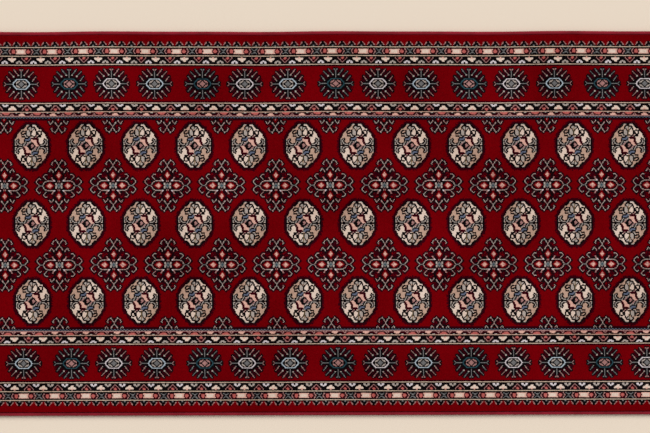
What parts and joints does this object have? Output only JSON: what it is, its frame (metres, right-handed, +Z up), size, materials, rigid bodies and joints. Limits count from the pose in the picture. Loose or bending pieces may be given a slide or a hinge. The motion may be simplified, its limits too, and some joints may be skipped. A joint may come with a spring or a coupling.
{
  "type": "runner rug",
  "caption": "Long low-pile woven runner rug lying flat, red with rows of eight-sided medallions, a banded patterned border and serged edges.",
  "frame": {"origin": "centre of the underside, where the rug lies on the floor", "axes": "+X along the runner, +Y across it, +Z up out of the pile"},
  "size_m": [2, 0.7, 0.01],
  "materials": {
    "size_coat": "dried latex and starch size brushed into the back, dull",
    "jute_ground": "plain woven jute weft and cotton warp, coarse and dry",
    "serging_yarn": "crimson wool-look yarn wrapped tightly round the edge, slight sheen",
    "edge_cord": "twisted cotton cord, matt",
    "ruby_pile": "deep ruby cut pile, soft sheen, slight shade changes",
    "black_pile": "blue-black cut pile, matt",
    "wine_pile": "dark wine cut pile, matt",
    "cream_pile": "cream cut pile, soft",
    "white_pile": "off-white cut pile, soft",
    "tan_pile": "camel tan cut pile, soft",
    "coral_pile": "coral pink cut pile, soft",
    "blue_pile": "grey-blue cut pile, soft",
    "grey_pile": "grey-green cut pile, soft"
  },
  "bodies": {
    "root": {"back_coat": "size_coat", "ground_weave": "jute_ground", "rear_edge_serging": "serging_yarn", "front_edge_serging": "serging_yarn", "left_end_serging": "serging_yarn", "right_end_serging": "serging_yarn", "rear_edge_cord": "edge_cord", "front_edge_cord": "edge_cord", "left_end_cord": "edge_cord", "right_end_cord": "edge_cord", "plain_band_pile": "ruby_pile", "comb_stripe_pile": "black_pile", "cream_line_1_pile": "cream_pile", "cartouche_stripe_pile": "grey_pile", "cream_line_2_pile": "cream_pile", "outer_trefoil_stripe_pile": "black_pile", "cream_line_3_pile": "cream_pile", "main_band_pile": "ruby_pile", "cream_line_4_pile": "cream_pile", "inner_trefoil_stripe_pile": "black_pile", "coral_stripe_pile": "coral_pile", "navy_line_pile": "blue_pile", "sunburst_pile": "white_pile", "gul_pile": "tan_pile", "gul_outline_pile": "wine_pile", "cross_pile": "wine_pile", "edge_cross_pile": "wine_pile", "field_pile": "ruby_pile"}
  },
  "joints": []
}
